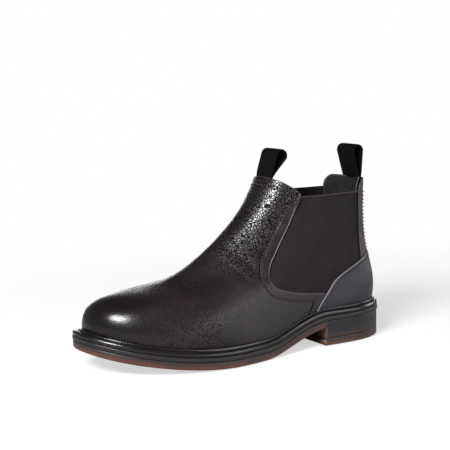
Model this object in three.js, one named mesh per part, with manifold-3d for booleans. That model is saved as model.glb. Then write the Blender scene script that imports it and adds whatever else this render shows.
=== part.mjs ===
// A left chelsea boot, in millimetres, +Z up.
// The origin is on the ground under the middle of the heel; the toe points to -Y, the outer side to +X.
// The upper is drawn as a last maker draws it: level rows round the foot, from the sole to the collar.

import * as THREE from 'three';
import { mergeVertices } from 'three/addons/utils/BufferGeometryUtils.js';
import Module from 'manifold-3d';

const wasm = await Module();
wasm.setup();

// ---------------------------------------------------------------- driving dimensions

const GAP = 0.3;                 // clearance between neighbouring pieces

const TOE_Y = -266;              // foremost point of the sole
const BACK_Y = 39;               // rearmost point of the sole
const BREAST_Y = -40;            // front face of the heel

const TOE_SPRING = 20;           // how far the toe of the sole stands off the ground
const SPRING_Y = -142;           // where the toe spring begins
const HEEL_RISE = 16.4;          // underside of the sole above the ground, over the heel
const WAIST_Y = [-113, -35];     // the sole rises from the ball to the heel between these

const OUTSOLE = 7;               // thicknesses of the sole's layers
const MIDSOLE = 4.5;
const WELT_RIM = 4.8;
const WELT_BEAD = 6.6;
const FILLER = 2.3;
const BOARD = 2.6;
const SOCK = 1.5;
const HEEL_PAD = 3;
const TOP_LIFT = 7;
const HEEL_INSET = 0.8;          // how far the heel stands in from the edge of the sole
const SEAT = OUTSOLE + MIDSOLE;  // height of the welt's underside and of the upper's lower edge

// Depths below the outer surface of the upper, outer face first
const LEATHER = [0, 1.7];
const COVER = [-0.6, 1.1];       // the heel cover stands a little proud
const BETWEEN = [2.1, 3];         // gores, toe puff and loop ends lie between leather and lining
const STIFFENER = [1.5, 3];
const LINING = [3.4, 4.6];

// Share of the length from toe to heel at which the half widths are given
const STATIONS = [0, 0.12, 0.3, 0.5, 0.7, 0.88, 1];

// How far the centre line swings to the outer side at the stations (a left foot)
const SWING = [-8, -5, 1, 4.5, 3.5, 0.5, 0];

// Half widths of the sole, as the width of the ellipse that passes through each point
const SOLE_STATIONS = [0, 0.15, 0.3, 0.45, 0.6, 0.7, 0.8, 0.9, 1];
const SOLE_WIDTHS = [80, 65.5, 60.5, 53, 42.5, 41.5, 49.5, 63.5, 77];

// Rows of the upper from the sole's seat to the collar, evenly numbered from 0 to 1
const row = (frontY, frontZ, backY, backZ, frontRadius, halfWidths, backRadius) => (
  { frontY, frontZ, backY, backZ, frontRadius, halfWidths, backRadius }
);
const ROWS = [
  row(-256, soleBottom(-256) + SEAT + GAP, 32.5, HEEL_RISE + SEAT + GAP, 36, [40, 47.5, 43, 32.5, 32], 32),
  row(-257.5, 40, 34.5, 41, 37, [41, 49.5, 45.5, 36, 34.5], 34),
  row(-251, 56, 34.5, 55, 31, [36.5, 47, 45.5, 37.5, 35], 34),
  row(-228, 65.5, 32, 68.5, 15, [29.5, 42, 43, 38, 34.5], 31),
  row(-187, 69.5, 29, 82, 10, [25, 37, 40, 37, 33], 27),
  row(-150, 85, 27, 96, 11, [21.5, 32, 37, 35, 30], 24),
  row(-118, 109.5, 25.5, 111.5, 16, [20.5, 29.5, 34, 33, 28], 24),
  row(-96, 132.5, 25, 129.5, 28, [23.5, 29.5, 33, 31.5, 26.5], 26),
  row(-82, 156, 25, 148.5, 45, [25.5, 30.5, 33, 31, 26.5], 30),
];

// Edges of the panels in side view, as [y, z]
const GORE_TOP_Z = 138;
const COLLAR_EDGE = [[-100, 160], [-86, 157], [-78, 153.5], [-68, 147.5], [-61.5, 142.5], [-58.5, 137.5]];
const GORE_FRONT_EDGE = [[-58.5, 137.5], [-64, 128], [-73.5, 112], [-88, 92.5], [-98, 80], [-102, 70]];
const GORE_BOTTOM_EDGE = [[-102, 70], [-98, 62.5], [-88, 58], [-70, 53.5], [-38, 48.6]];
const COUNTER_FRONT_EDGE = [[-38, 48.6], [-44.5, 40.5], [-50.5, 28], [-54, 10]];
const COUNTER_TOP_EDGE = [[-38, 48.6], [-28, 60.5], [-13, 68.5], [7, 75.5], [24, 80], [60, 83]];
const STRAP_Y = 6.5;             // front edges of the back strap
const STRAP_CORNER = 12;         // radius of its top corners
const STRAP_TOP_Z = 150;
const STRAP_FOOT_EDGE = [[60, 83], [24, 80], [12, 77], [STRAP_Y, 75.2]];
const UNDERLAP = 8;              // how far a gore runs under the leather round it
const GORE_HIDDEN_EDGE = [
  [-66.5, GORE_TOP_Z], [-82, 112], [-97, 92], [-108, 76], [-109, 64], [-100, 55], [-72, 46.5],
  [-40, 43], [-32, 46], [-22, 55], [-10, 61], [STRAP_Y + UNDERLAP, 68],
];

// Pieces inside the boot
const TOE_PUFF_BACK_Y = -205;
const FILLER_BACK_Y = -128;
const HEEL_PAD_FRONT_Y = -60;
const SOCK_CLIMB_Y = -84;        // the sock climbs onto the heel pad between here and the pad
const SHANK_Y = -66;             // middle of the shank
const SHANK_LENGTH = 116;
const SHANK_WIDTH = 16;
const SHANK_THICKNESS = 1.5;

const WEBBING_WIDTH = 26.5;
const WEBBING = 1.3;             // its thickness
const FRONT_LOOP_HEIGHT = 26;
const REAR_LOOP_HEIGHT = 30.5;
const LOOP_BULGE = 5.9;          // radius of the loop's round top
const LOOP_FOOT = 2;             // radius of the loop where it leaves the collar
const LOOP_DEPTH = 5.4;          // the loops stand just inside the collar
const FRONT_LOOP_TILT = 31;      // degrees, leaning back
const REAR_LOOP_TILT = 5;        // degrees, leaning forward

const NAIL_RADIUS = 1.3;
const NAIL_HEAD = 2.6;
const NAIL_HEAD_THICKNESS = 0.9;
const NAIL_TIP_Z = 12;
const NAIL_PLACES = [[0, 22], [16, 10], [-16, 10], [17, -16], [-17, -16]];

// Limits well outside the boot, for cutting
const WIDE = 100;
const HIGH = 200;
const AHEAD = -300;
const BEHIND = 100;

// How finely the surfaces are divided
const AROUND = 48;
const UPWARD = 15;
const CROWDING = 1.3;            // draws the rows together near the sole, where the toe turns over
const ALONG_SOLE = 36;
const CURVE_POINTS = 2;
const LOOP_POINTS = 10;
const NAIL_SIDES = 10;

// ---------------------------------------------------------------- curves

function smoothstep(from, to, x) {
  const t = THREE.MathUtils.clamp((x - from) / (to - from), 0, 1);
  return t * t * (3 - 2 * t);
}

// Natural cubic spline through the points (xs, ys)
function naturalSpline(xs, ys) {
  const n = xs.length - 1;
  const bend = new Array(n + 1).fill(0);
  const ratio = new Array(n + 1).fill(0);
  for (let i = 1; i < n; i++) {
    const before = xs[i] - xs[i - 1];
    const after = xs[i + 1] - xs[i];
    const load = 6 * ((ys[i + 1] - ys[i]) / after - (ys[i] - ys[i - 1]) / before);
    const pivot = 2 * (before + after) - before * ratio[i - 1];
    ratio[i] = after / pivot;
    bend[i] = (load - before * bend[i - 1]) / pivot;
  }
  for (let i = n - 1; i > 0; i--) {
    bend[i] -= ratio[i] * bend[i + 1];
  }
  return (x) => {
    let i = 0;
    while (i < n - 1 && x > xs[i + 1]) {
      i++;
    }
    const width = xs[i + 1] - xs[i];
    const a = (xs[i + 1] - x) / width;
    const b = (x - xs[i]) / width;
    const curve = ((a ** 3 - a) * bend[i] + (b ** 3 - b) * bend[i + 1]) * width * width / 6;
    return a * ys[i] + b * ys[i + 1] + curve;
  };
}

// Height of the sole's underside above the ground
function soleBottom(y) {
  const spring = TOE_SPRING * (Math.max(SPRING_Y - y, 0) / (SPRING_Y - TOE_Y)) ** 2;
  return spring + HEEL_RISE * smoothstep(WAIST_Y[0], WAIST_Y[1], y);
}

// ---------------------------------------------------------------- the last

const swing = naturalSpline(STATIONS, SWING);
const soleWidth = naturalSpline(SOLE_STATIONS, SOLE_WIDTHS);

const rowNumbers = ROWS.map((_, i) => i / (ROWS.length - 1));
const rowSpline = (pick) => naturalSpline(rowNumbers, ROWS.map(pick));
const rowCurves = {
  frontY: rowSpline((r) => r.frontY),
  frontZ: rowSpline((r) => r.frontZ),
  backY: rowSpline((r) => r.backY),
  backZ: rowSpline((r) => r.backZ),
  frontRadius: rowSpline((r) => r.frontRadius),
  backRadius: rowSpline((r) => r.backRadius),
  halfWidths: ROWS[0].halfWidths.map((_, i) => rowSpline((r) => r.halfWidths[i])),
};

// The girth line at height h: a closed curve, angle 0 at the toe, a quarter turn on the outer side
function girth(h) {
  const frontY = rowCurves.frontY(h);
  const frontZ = rowCurves.frontZ(h);
  const length = rowCurves.backY(h) - frontY;
  const rise = rowCurves.backZ(h) - frontZ;
  const inner = rowCurves.halfWidths.map((curve, i) => {
    const share = STATIONS[i + 1];
    return curve(h) / (2 * Math.sqrt(share * (1 - share)));
  });
  const frontEnd = Math.sqrt(rowCurves.frontRadius(h) * length / 2);
  const backEnd = Math.sqrt(rowCurves.backRadius(h) * length / 2);
  const width = naturalSpline(STATIONS, [frontEnd, ...inner, backEnd]);
  const seatFade = Math.max(1 - h * 1.6, 0) ** 1.5;
  const [toeSeat, heelSeat] = [ROWS[0].frontY, ROWS[0].backY].map(soleBottom);
  return (angle) => {
    const share = (1 - Math.cos(angle)) / 2;
    const y = frontY + length * share;
    const seatDip = soleBottom(y) - THREE.MathUtils.lerp(toeSeat, heelSeat, share);
    return new THREE.Vector3(
      swing(share) * (1 - h) + Math.sin(angle) * width(share),
      y,
      frontZ + rise * share + seatDip * seatFade,
    );
  };
}

// Point of the upper at an angle and height, at a depth below its outer face
function upperPoint(angle, h, depth) {
  const step = 0.004;
  const low = Math.max(h - step, 0);
  const high = Math.min(h + step, 1);
  const along = girth(h)(angle + step).sub(girth(h)(angle - step));
  const up = girth(high)(angle).sub(girth(low)(angle));
  const outward = along.cross(up).normalize();
  return girth(h)(angle).addScaledVector(outward, -depth);
}

// Outline of the sole, moved inwards by inset
function soleOutline(angle, inset) {
  const at = (a) => {
    const share = (1 - Math.cos(a)) / 2;
    return new THREE.Vector2(swing(share) + Math.sin(a) * soleWidth(share), TOE_Y + (BACK_Y - TOE_Y) * share);
  };
  return insetFrom(at, angle, inset);
}

// Outline of the upper where it sits on the sole, moved inwards by inset
function seatOutline(angle, inset) {
  const seat = girth(0);
  const at = (a) => new THREE.Vector2(seat(a).x, seat(a).y);
  return insetFrom(at, angle, inset);
}

function insetFrom(at, angle, inset) {
  const step = 0.01;
  const along = at(angle + step).sub(at(angle - step)).normalize();
  return at(angle).add(new THREE.Vector2(-along.y, along.x).multiplyScalar(inset));
}

// ---------------------------------------------------------------- solids

// Skins a row of rings with the same number of points; a loop joins the last ring to the first
function loft(rings, isLoop) {
  const size = rings[0].length;
  const positions = rings.flat().flatMap((p) => [p.x, p.y, p.z]);
  const faces = [];
  const spans = isLoop ? rings.length : rings.length - 1;
  for (let i = 0; i < spans; i++) {
    const here = i * size;
    const next = ((i + 1) % rings.length) * size;
    for (let j = 0; j < size; j++) {
      const k = (j + 1) % size;
      faces.push(here + j, next + j, next + k, here + j, next + k, here + k);
    }
  }
  if (!isLoop) {
    const last = (rings.length - 1) * size;
    for (let j = 0; j < size / 2 - 1; j++) {
      const k = size - 1 - j;
      faces.push(j, j + 1, k - 1, j, k - 1, k);
      faces.push(last + j, last + k - 1, last + j + 1, last + j, last + k, last + k - 1);
    }
  }
  const geometry = new THREE.BufferGeometry();
  geometry.setAttribute('position', new THREE.Float32BufferAttribute(positions, 3));
  geometry.setIndex(faces);
  return geometry;
}

// Turns a closed geometry into a solid that can be cut
function solid(geometry) {
  const bare = geometry.clone();
  bare.deleteAttribute('normal');
  bare.deleteAttribute('uv');
  const merged = mergeVertices(bare, 1e-4);
  const index = merged.index.array;
  const kept = [];
  for (let i = 0; i < index.length; i += 3) {
    const [a, b, c] = [index[i], index[i + 1], index[i + 2]];
    if (a !== b && b !== c && c !== a) {
      kept.push(a, b, c);
    }
  }
  const turned = signedVolume(merged.attributes.position, kept) < 0;
  return new wasm.Manifold(new wasm.Mesh({
    numProp: 3,
    vertProperties: new Float32Array(merged.attributes.position.array),
    triVerts: new Uint32Array(turned ? kept.reverse() : kept),
  }));
}

function signedVolume(position, index) {
  const [a, b, c] = [new THREE.Vector3(), new THREE.Vector3(), new THREE.Vector3()];
  let volume = 0;
  for (let i = 0; i < index.length; i += 3) {
    a.fromBufferAttribute(position, index[i]);
    b.fromBufferAttribute(position, index[i + 1]);
    c.fromBufferAttribute(position, index[i + 2]);
    volume += a.dot(b.cross(c)) / 6;
  }
  return volume;
}

function geometryOf(body) {
  const mesh = body.getMesh();
  const geometry = new THREE.BufferGeometry();
  geometry.setAttribute('position', new THREE.Float32BufferAttribute(mesh.vertProperties, 3));
  geometry.setIndex(Array.from(mesh.triVerts));
  geometry.computeVertexNormals();
  return geometry;
}

// A closed tube round the foot, as thick as the layer
function layerSolid([outer, inner]) {
  const heights = Array.from({ length: UPWARD + 1 }, (_, i) => (i / UPWARD) ** CROWDING);
  const rings = Array.from({ length: AROUND }, (_, i) => {
    const angle = i * 2 * Math.PI / AROUND;
    const outerSide = heights.map((h) => upperPoint(angle, h, outer));
    const innerSide = heights.map((h) => upperPoint(angle, h, inner)).reverse();
    return [...outerSide, ...innerSide];
  });
  return solid(loft(rings, true));
}

// A layer of the sole; levels are [inset, height above the sole's underside], from the bottom up
function soleLayer(outline, levels, heightOf = soleBottom) {
  const rings = Array.from({ length: ALONG_SOLE + 1 }, (_, i) => {
    const angle = Math.PI * i / ALONG_SOLE;
    const side = (a) => levels.map(([inset, height]) => {
      const p = outline(a, inset);
      return new THREE.Vector3(p.x, p.y, heightOf(p.y) + height);
    });
    return [...side(angle), ...side(-angle).reverse()];
  });
  return solid(loft(rings, false));
}

// A prism that runs from side to side, centred on the boot, whose side view is the shape
function sidePrism(shape, width, curveSegments) {
  const geometry = new THREE.ExtrudeGeometry(shape, { depth: width, bevelEnabled: false, curveSegments });
  geometry.applyMatrix4(new THREE.Matrix4().makeBasis(
    new THREE.Vector3(0, 1, 0),
    new THREE.Vector3(0, 0, 1),
    new THREE.Vector3(1, 0, 0),
  ));
  geometry.translate(-width / 2, 0, 0);
  return solid(geometry);
}

function sideCut(shape) {
  return sidePrism(shape, 2 * WIDE, CURVE_POINTS);
}

function box(lowX, highX, lowY, highY, lowZ, highZ) {
  const geometry = new THREE.BoxGeometry(highX - lowX, highY - lowY, highZ - lowZ);
  geometry.translate((lowX + highX) / 2, (lowY + highY) / 2, (lowZ + highZ) / 2);
  return solid(geometry);
}

// The part of the boot's space between two cross sections
function slice(lowY, highY, lowZ = -WIDE, highZ = HIGH) {
  return box(-WIDE, WIDE, lowY, highY, lowZ, highZ);
}

// ---------------------------------------------------------------- panel outlines in side view

const points = (pairs) => pairs.map(([y, z]) => new THREE.Vector2(y, z));

function splineTo(shape, pairs) {
  shape.splineThru(points(pairs.slice(1)));
}

// Everything in front of the gore and the heel cover
function frontOutline() {
  const shape = new THREE.Shape();
  shape.moveTo(AHEAD, 0);
  shape.lineTo(AHEAD, HIGH);
  shape.lineTo(...COLLAR_EDGE[0]);
  splineTo(shape, COLLAR_EDGE);
  splineTo(shape, GORE_FRONT_EDGE);
  splineTo(shape, GORE_BOTTOM_EDGE);
  splineTo(shape, COUNTER_FRONT_EDGE);
  shape.lineTo(COUNTER_FRONT_EDGE.at(-1)[0], 0);
  return shape;
}

// The heel cover, or with an inset the same shape with its edge lower and further back
function counterOutline(inset) {
  const edge = [...COUNTER_FRONT_EDGE].reverse().concat(COUNTER_TOP_EDGE.slice(1));
  const moved = edge.map(([y, z]) => [y + inset, z - inset]);
  const shape = new THREE.Shape();
  shape.moveTo(moved[0][0], -inset);
  shape.lineTo(...moved[0]);
  splineTo(shape, moved);
  shape.lineTo(moved.at(-1)[0], -inset);
  return shape;
}

// The back strap and its facing: from above the heel cover to the collar, with round top corners
function backOutline(clearance) {
  const foot = STRAP_FOOT_EDGE.map(([y, z]) => [y, z + clearance]);
  const cornerZ = STRAP_TOP_Z - STRAP_CORNER;
  const shape = new THREE.Shape();
  shape.moveTo(...foot[0]);
  splineTo(shape, foot);
  shape.lineTo(STRAP_Y, cornerZ);
  shape.absarc(STRAP_Y + STRAP_CORNER, cornerZ, STRAP_CORNER, Math.PI, Math.PI / 2, true);
  shape.lineTo(foot[0][0], STRAP_TOP_Z);
  return shape;
}

// One gore with the margins that run under the leather
function goreOutline() {
  const shape = new THREE.Shape();
  shape.moveTo(STRAP_Y + UNDERLAP, GORE_TOP_Z);
  shape.lineTo(...GORE_HIDDEN_EDGE[0]);
  splineTo(shape, GORE_HIDDEN_EDGE);
  return shape;
}

// ---------------------------------------------------------------- upper

const layers = {
  leather: layerSolid(LEATHER),
  cover: layerSolid(COVER),
  between: layerSolid(BETWEEN),
  stiffener: layerSolid(STIFFENER),
  lining: layerSolid(LINING),
};

const halves = {
  lateral: box(0, WIDE, AHEAD, BEHIND, 0, HIGH),
  medial: box(-WIDE, 0, AHEAD, BEHIND, 0, HIGH),
};

function vampSolid() {
  return layers.leather.intersect(sideCut(frontOutline()));
}

function backStrapSolid() {
  return layers.leather.intersect(sideCut(backOutline(2 * GAP)));
}

function goreSolid(half) {
  return layers.between.intersect(sideCut(goreOutline())).intersect(half);
}

function toePuffSolid() {
  return layers.between.intersect(slice(AHEAD, TOE_PUFF_BACK_Y));
}

function heelCoverSolid() {
  return layers.cover.intersect(sideCut(counterOutline(GAP)));
}

function counterStiffenerSolid() {
  return layers.stiffener.intersect(sideCut(counterOutline(UNDERLAP + 1)));
}

function vampLiningSolid() {
  return layers.lining.intersect(sideCut(frontOutline()));
}

function heelLiningSolid() {
  return layers.lining.intersect(sideCut(counterOutline(2 * GAP)));
}

function backFacingSolid() {
  return layers.lining.intersect(sideCut(backOutline(4 * GAP)));
}

// ---------------------------------------------------------------- pull loops

// Side view of a loop: a drop shape, round foot at the origin, as a band of webbing
function loopShape(height) {
  const centre = height - LOOP_FOOT - LOOP_BULGE;
  const lean = Math.asin((LOOP_BULGE - LOOP_FOOT) / centre);
  const drop = (path, inset) => {
    path.absarc(0, 0, LOOP_FOOT - inset, Math.PI + lean, 2 * Math.PI - lean, false);
    path.absarc(0, centre, LOOP_BULGE - inset, -lean, Math.PI + lean, false);
    path.closePath();
    return path;
  };
  const shape = drop(new THREE.Shape(), 0);
  shape.holes.push(drop(new THREE.Path(), WEBBING));
  return shape;
}

function loopSolid(height) {
  return sidePrism(loopShape(height), WEBBING_WIDTH, LOOP_POINTS);
}

// Where a loop's foot stands: just inside the collar
function loopFoot(angle) {
  const foot = upperPoint(angle, 1, LOOP_DEPTH);
  foot.z = upperPoint(angle, 1, 0).z + LOOP_FOOT + 2 * GAP;
  return foot;
}

// The ends of the webbing, sewn in between the leather and the lining
function tailsSolid(lowY, highY, footZ) {
  return layers.between.intersect(box(-WEBBING_WIDTH / 2, WEBBING_WIDTH / 2, lowY, highY, footZ, HIGH));
}

// ---------------------------------------------------------------- sole

function outsoleSolid() {
  const levels = [[2.5, 0], [0.8, 0.6], [0.3, 2], [0.3, OUTSOLE - GAP]];
  return soleLayer(soleOutline, levels).subtract(slice(BREAST_Y - GAP, BEHIND));
}

function midsoleSolid() {
  const levels = [[0.2, OUTSOLE], [0, OUTSOLE + 0.8], [0, SEAT - GAP - 0.8], [0.6, SEAT - GAP]];
  return soleLayer(soleOutline, levels).subtract(nailHoles);
}

// The welt rings the upper: a rounded rim outside, a groove, and a bead against the leather
function weltSolid() {
  const rim = SEAT + WELT_RIM;
  const bead = SEAT + WELT_BEAD;
  const profile = [
    [0.12, SEAT], [0, SEAT + 1.2], [0, rim - 1.8], [0.15, rim - 0.5], [0.32, rim], [0.5, rim - 0.6],
    [0.6, rim - 1], [0.72, bead - 0.9], [0.85, bead], [1, bead - 0.4], [1, SEAT],
  ];
  const rings = Array.from({ length: 2 * ALONG_SOLE }, (_, i) => {
    const angle = Math.PI * i / ALONG_SOLE;
    const outer = soleOutline(angle, 0.3);
    return profile.map(([share, height]) => {
      const wall = wallOutline(angle, height);
      const p = outer.clone().lerp(wall, share);
      return new THREE.Vector3(p.x, p.y, soleBottom(p.y) + height);
    });
  });
  return solid(loft(rings, true));
}

// Outer face of the upper, with clearance, at a height above the sole's underside
function wallOutline(angle, height) {
  const reach = COVER[0] - 2 * GAP;
  let [low, high] = [0, 0.4];
  for (let i = 0; i < 20; i++) {
    const middle = (low + high) / 2;
    const p = upperPoint(angle, middle, reach);
    if (p.z < soleBottom(p.y) + height) {
      low = middle;
    } else {
      high = middle;
    }
  }
  const p = upperPoint(angle, low, reach);
  return new THREE.Vector2(p.x, p.y);
}

function heelBlockSolid() {
  const levels = [[HEEL_INSET, -HEEL_RISE], [HEEL_INSET, OUTSOLE - GAP - 1], [0.5, OUTSOLE - GAP]];
  return soleLayer(soleOutline, levels).intersect(slice(BREAST_Y, BEHIND, TOP_LIFT)).subtract(nailHoles);
}

function topLiftSolid() {
  const levels = [[2, 0], [1, 0.8], [HEEL_INSET, TOP_LIFT - GAP]];
  const atGround = () => 0;
  return soleLayer(soleOutline, levels, atGround).intersect(slice(BREAST_Y, BEHIND));
}

// ---------------------------------------------------------------- inside the boot

const boardBottom = SEAT + FILLER + GAP;
const boardTop = boardBottom + BOARD - GAP;

function insoleBoardSolid() {
  return soleLayer(seatOutline, [[5.4, boardBottom], [5.4, boardTop]]).subtract(nailHoles);
}

function bottomFillerSolid() {
  const levels = [[7, SEAT], [7, SEAT + FILLER - GAP]];
  return soleLayer(seatOutline, levels).intersect(slice(AHEAD, FILLER_BACK_Y));
}

function shankSolid() {
  const strip = (angle) => new THREE.Vector2(
    Math.sign(Math.sin(angle)) * SHANK_WIDTH / 2,
    SHANK_Y - Math.cos(angle) * SHANK_LENGTH / 2,
  );
  const bottom = SEAT + GAP;
  return soleLayer(strip, [[0, bottom], [0, bottom + SHANK_THICKNESS]]);
}

const padBottom = boardTop + GAP;

function heelPadSolid() {
  const levels = [[7, padBottom], [7, padBottom + HEEL_PAD]];
  return soleLayer(seatOutline, levels).intersect(slice(HEEL_PAD_FRONT_Y, BEHIND));
}

// The sock lies on the board in front and climbs over the heel pad
function sockLinerSolid() {
  const climb = (y) => soleBottom(y) + (HEEL_PAD + GAP) * smoothstep(SOCK_CLIMB_Y, HEEL_PAD_FRONT_Y, y);
  return soleLayer(seatOutline, [[5.6, padBottom], [5.6, padBottom + SOCK]], climb);
}

// ---------------------------------------------------------------- heel nails

const nailTopZ = HEEL_RISE + boardTop - 0.1;

// A nail, or with a clearance the hole it sits in, open at the top
function nailGeometry(clearance) {
  const shaft = NAIL_RADIUS + clearance;
  const head = NAIL_HEAD + clearance;
  const tipZ = NAIL_TIP_Z - clearance;
  const neckZ = nailTopZ - NAIL_HEAD_THICKNESS - clearance;
  const topZ = nailTopZ + 4 * clearance;
  const profile = [[0, tipZ - 1], [shaft, tipZ + 1], [shaft, neckZ], [head, neckZ], [head, topZ], [0, topZ]];
  const lathe = new THREE.LatheGeometry(profile.map(([r, z]) => new THREE.Vector2(r, z)), NAIL_SIDES);
  lathe.rotateX(Math.PI / 2);
  return lathe;
}

function nailHolesSolid() {
  const holes = NAIL_PLACES.map(([x, y]) => solid(nailGeometry(GAP).translate(x, y, 0)));
  return wasm.Manifold.union(holes);
}

const nailHoles = nailHolesSolid();

// ---------------------------------------------------------------- materials

const material = (colour, roughness, metalness = 0) => (
  new THREE.MeshStandardMaterial({ color: colour, roughness, metalness })
);
const pebbledLeather = () => material('#2a2422', 0.45);
const smoothLeather = () => material('#2f2d30', 0.4);
const strapLeather = () => material('#3a2f2c', 0.5);
const elastic = () => material('#231d1c', 0.85);
const webbing = () => material('#101012', 0.9);
const blackRubber = () => material('#1b1b1d', 0.35);
const brownRubber = () => material('#4a2a22', 0.45);
const stiffBoard = () => material('#8a6f52', 0.8);
const liningLeather = () => material('#3a3a40', 0.7);

// ---------------------------------------------------------------- the boot

const boot = new THREE.Group();

function add(name, geometry, look, parent = boot) {
  const mesh = new THREE.Mesh(geometry, look);
  mesh.name = name;
  parent.add(mesh);
  return mesh;
}

add('vamp', geometryOf(vampSolid()), pebbledLeather());
add('toe_puff', geometryOf(toePuffSolid()), stiffBoard());
add('vamp_lining', geometryOf(vampLiningSolid()), liningLeather());
add('gore_lateral', geometryOf(goreSolid(halves.lateral)), elastic());
add('gore_medial', geometryOf(goreSolid(halves.medial)), elastic());
add('counter_cover', geometryOf(heelCoverSolid()), smoothLeather());
add('counter_stiffener', geometryOf(counterStiffenerSolid()), stiffBoard());
add('heel_lining', geometryOf(heelLiningSolid()), liningLeather());
add('back_strap', geometryOf(backStrapSolid()), strapLeather());
add('back_facing', geometryOf(backFacingSolid()), liningLeather());

add('front_loop_tails', geometryOf(tailsSolid(AHEAD, -70, 130)), webbing());
add('rear_loop_tails', geometryOf(tailsSolid(0, BEHIND, 121)), webbing());

const frontLoop = add('front_loop', geometryOf(loopSolid(FRONT_LOOP_HEIGHT)), webbing());
frontLoop.position.copy(loopFoot(0));
frontLoop.rotation.x = -THREE.MathUtils.degToRad(FRONT_LOOP_TILT);

const rearLoop = add('rear_loop', geometryOf(loopSolid(REAR_LOOP_HEIGHT)), webbing());
rearLoop.position.copy(loopFoot(Math.PI));
rearLoop.rotation.x = THREE.MathUtils.degToRad(REAR_LOOP_TILT);

add('welt', geometryOf(weltSolid()), blackRubber());
add('midsole', geometryOf(midsoleSolid()), blackRubber());
add('outsole', geometryOf(outsoleSolid()), brownRubber());
add('heel_block', geometryOf(heelBlockSolid()), blackRubber());
add('heel_top_lift', geometryOf(topLiftSolid()), brownRubber());

add('insole_board', geometryOf(insoleBoardSolid()), stiffBoard());
add('bottom_filler', geometryOf(bottomFillerSolid()), material('#b08a5a', 0.9));
add('shank', geometryOf(shankSolid()), material('#9a9da0', 0.3, 1));
add('heel_pad', geometryOf(heelPadSolid()), material('#c9c4b8', 0.9));
add('sock_liner', geometryOf(sockLinerSolid()), liningLeather());

NAIL_PLACES.forEach(([x, y], i) => {
  const nail = add(`heel_nail_${i + 1}`, geometryOf(solid(nailGeometry(0))), material('#a8a9ab', 0.35, 1));
  nail.position.set(x, y, 0);
});

export default boot;
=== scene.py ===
"""A left chelsea boot: fine leather, elastic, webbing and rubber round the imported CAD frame.

Lengths are in millimetres until a mesh is made. The toe points to -Y and the outer side to +X.
A point of the upper has an angle (0 at the toe, a quarter turn on the outer side, half a turn at
the heel) and a height h (0 at the sole's seat, 1 at the collar).
"""

import math

import bmesh
import bpy
import numpy as np
from mathutils import Matrix, Vector, noise


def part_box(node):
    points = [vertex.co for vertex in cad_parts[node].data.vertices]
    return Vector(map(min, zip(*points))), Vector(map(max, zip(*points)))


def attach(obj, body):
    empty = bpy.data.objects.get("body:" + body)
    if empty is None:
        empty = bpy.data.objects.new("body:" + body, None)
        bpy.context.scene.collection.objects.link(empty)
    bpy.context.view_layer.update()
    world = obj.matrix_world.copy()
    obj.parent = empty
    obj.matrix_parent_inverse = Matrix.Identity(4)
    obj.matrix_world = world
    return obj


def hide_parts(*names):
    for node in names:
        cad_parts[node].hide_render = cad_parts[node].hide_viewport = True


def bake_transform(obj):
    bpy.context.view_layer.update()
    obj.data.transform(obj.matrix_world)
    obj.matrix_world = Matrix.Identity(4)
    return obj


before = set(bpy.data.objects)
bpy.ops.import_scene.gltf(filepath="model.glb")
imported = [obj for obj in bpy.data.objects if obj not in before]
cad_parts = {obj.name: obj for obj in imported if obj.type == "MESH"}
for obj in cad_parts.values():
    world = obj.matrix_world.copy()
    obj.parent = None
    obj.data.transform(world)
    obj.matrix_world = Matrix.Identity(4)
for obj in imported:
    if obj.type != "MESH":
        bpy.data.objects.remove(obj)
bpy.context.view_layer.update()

MM = 0.001


def ends_of(node):
    """Where a node of the frame begins and ends in y, in millimetres."""
    low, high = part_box(node)
    return low[1] / MM, high[1] / MM


# ---------------- driving dimensions

TOE_Y, BACK_Y = ends_of("midsole")
BREAST_Y = ends_of("heel_top_lift")[0]

TOE_SPRING = 20
SPRING_Y = -142
HEEL_RISE = 16.4
WAIST_Y = (-113, -35)

OUTSOLE = 7
MIDSOLE = 4.5
WELT_RIM = 4.8
WELT_BEAD = 6.6
SEAT = OUTSOLE + MIDSOLE
TIP = 0.0005  # angles at which the sections of the sole begin and end,
BACK = math.pi - TIP  # short of its two tips
TOP_LIFT = 7
GAP = 0.3  # clearance between neighbouring pieces
FILLER = 2.3
BOARD = 2.6
SOCK_THICKNESS = 1.5
HEEL_PAD = 3
HEEL_PAD_FRONT_Y = -60
SOCK_CLIMB_Y = -84  # the sock climbs onto the heel pad from here to the pad

# Depths below the outer surface of the upper, outer face first
LEATHER = (0, 1.7)
COVER = (-0.6, 1.1)
ELASTIC = (2.0, 3.1)
TAIL_DEPTHS = (2.15, 2.95)  # middles of the outer and inner tail of a pull loop
LINING = (3.4, 4.6)

STATIONS = [0, 0.12, 0.3, 0.5, 0.7, 0.88, 1]
SWING = [-8, -5, 1, 4.5, 3.5, 0.5, 0]
SOLE_STATIONS = [0, 0.15, 0.3, 0.45, 0.6, 0.7, 0.8, 0.9, 1]
SOLE_WIDTHS = [80, 65.5, 60.5, 53, 42.5, 41.5, 49.5, 63.5, 77]

# Rows of the last: front y and z, back y and z, front radius, five half widths, back radius;
# the lowest row gets its heights from the sole
ROWS = np.array([
    (-256, 0, 32.5, 0, 36, 40, 47.5, 43, 32.5, 32, 32),
    (-257.5, 40, 34.5, 41, 37, 41, 49.5, 45.5, 36, 34.5, 34),
    (-251, 56, 34.5, 55, 31, 36.5, 47, 45.5, 37.5, 35, 34),
    (-228, 65.5, 32, 68.5, 15, 29.5, 42, 43, 38, 34.5, 31),
    (-187, 69.5, 29, 82, 10, 25, 37, 40, 37, 33, 27),
    (-150, 85, 27, 96, 11, 21.5, 32, 37, 35, 30, 24),
    (-118, 109.5, 25.5, 111.5, 16, 20.5, 29.5, 34, 33, 28, 24),
    (-96, 132.5, 25, 129.5, 28, 23.5, 29.5, 33, 31.5, 26.5, 26),
    (-82, 156, 25, 148.5, 45, 25.5, 30.5, 33, 31, 26.5, 30),
])

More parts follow.
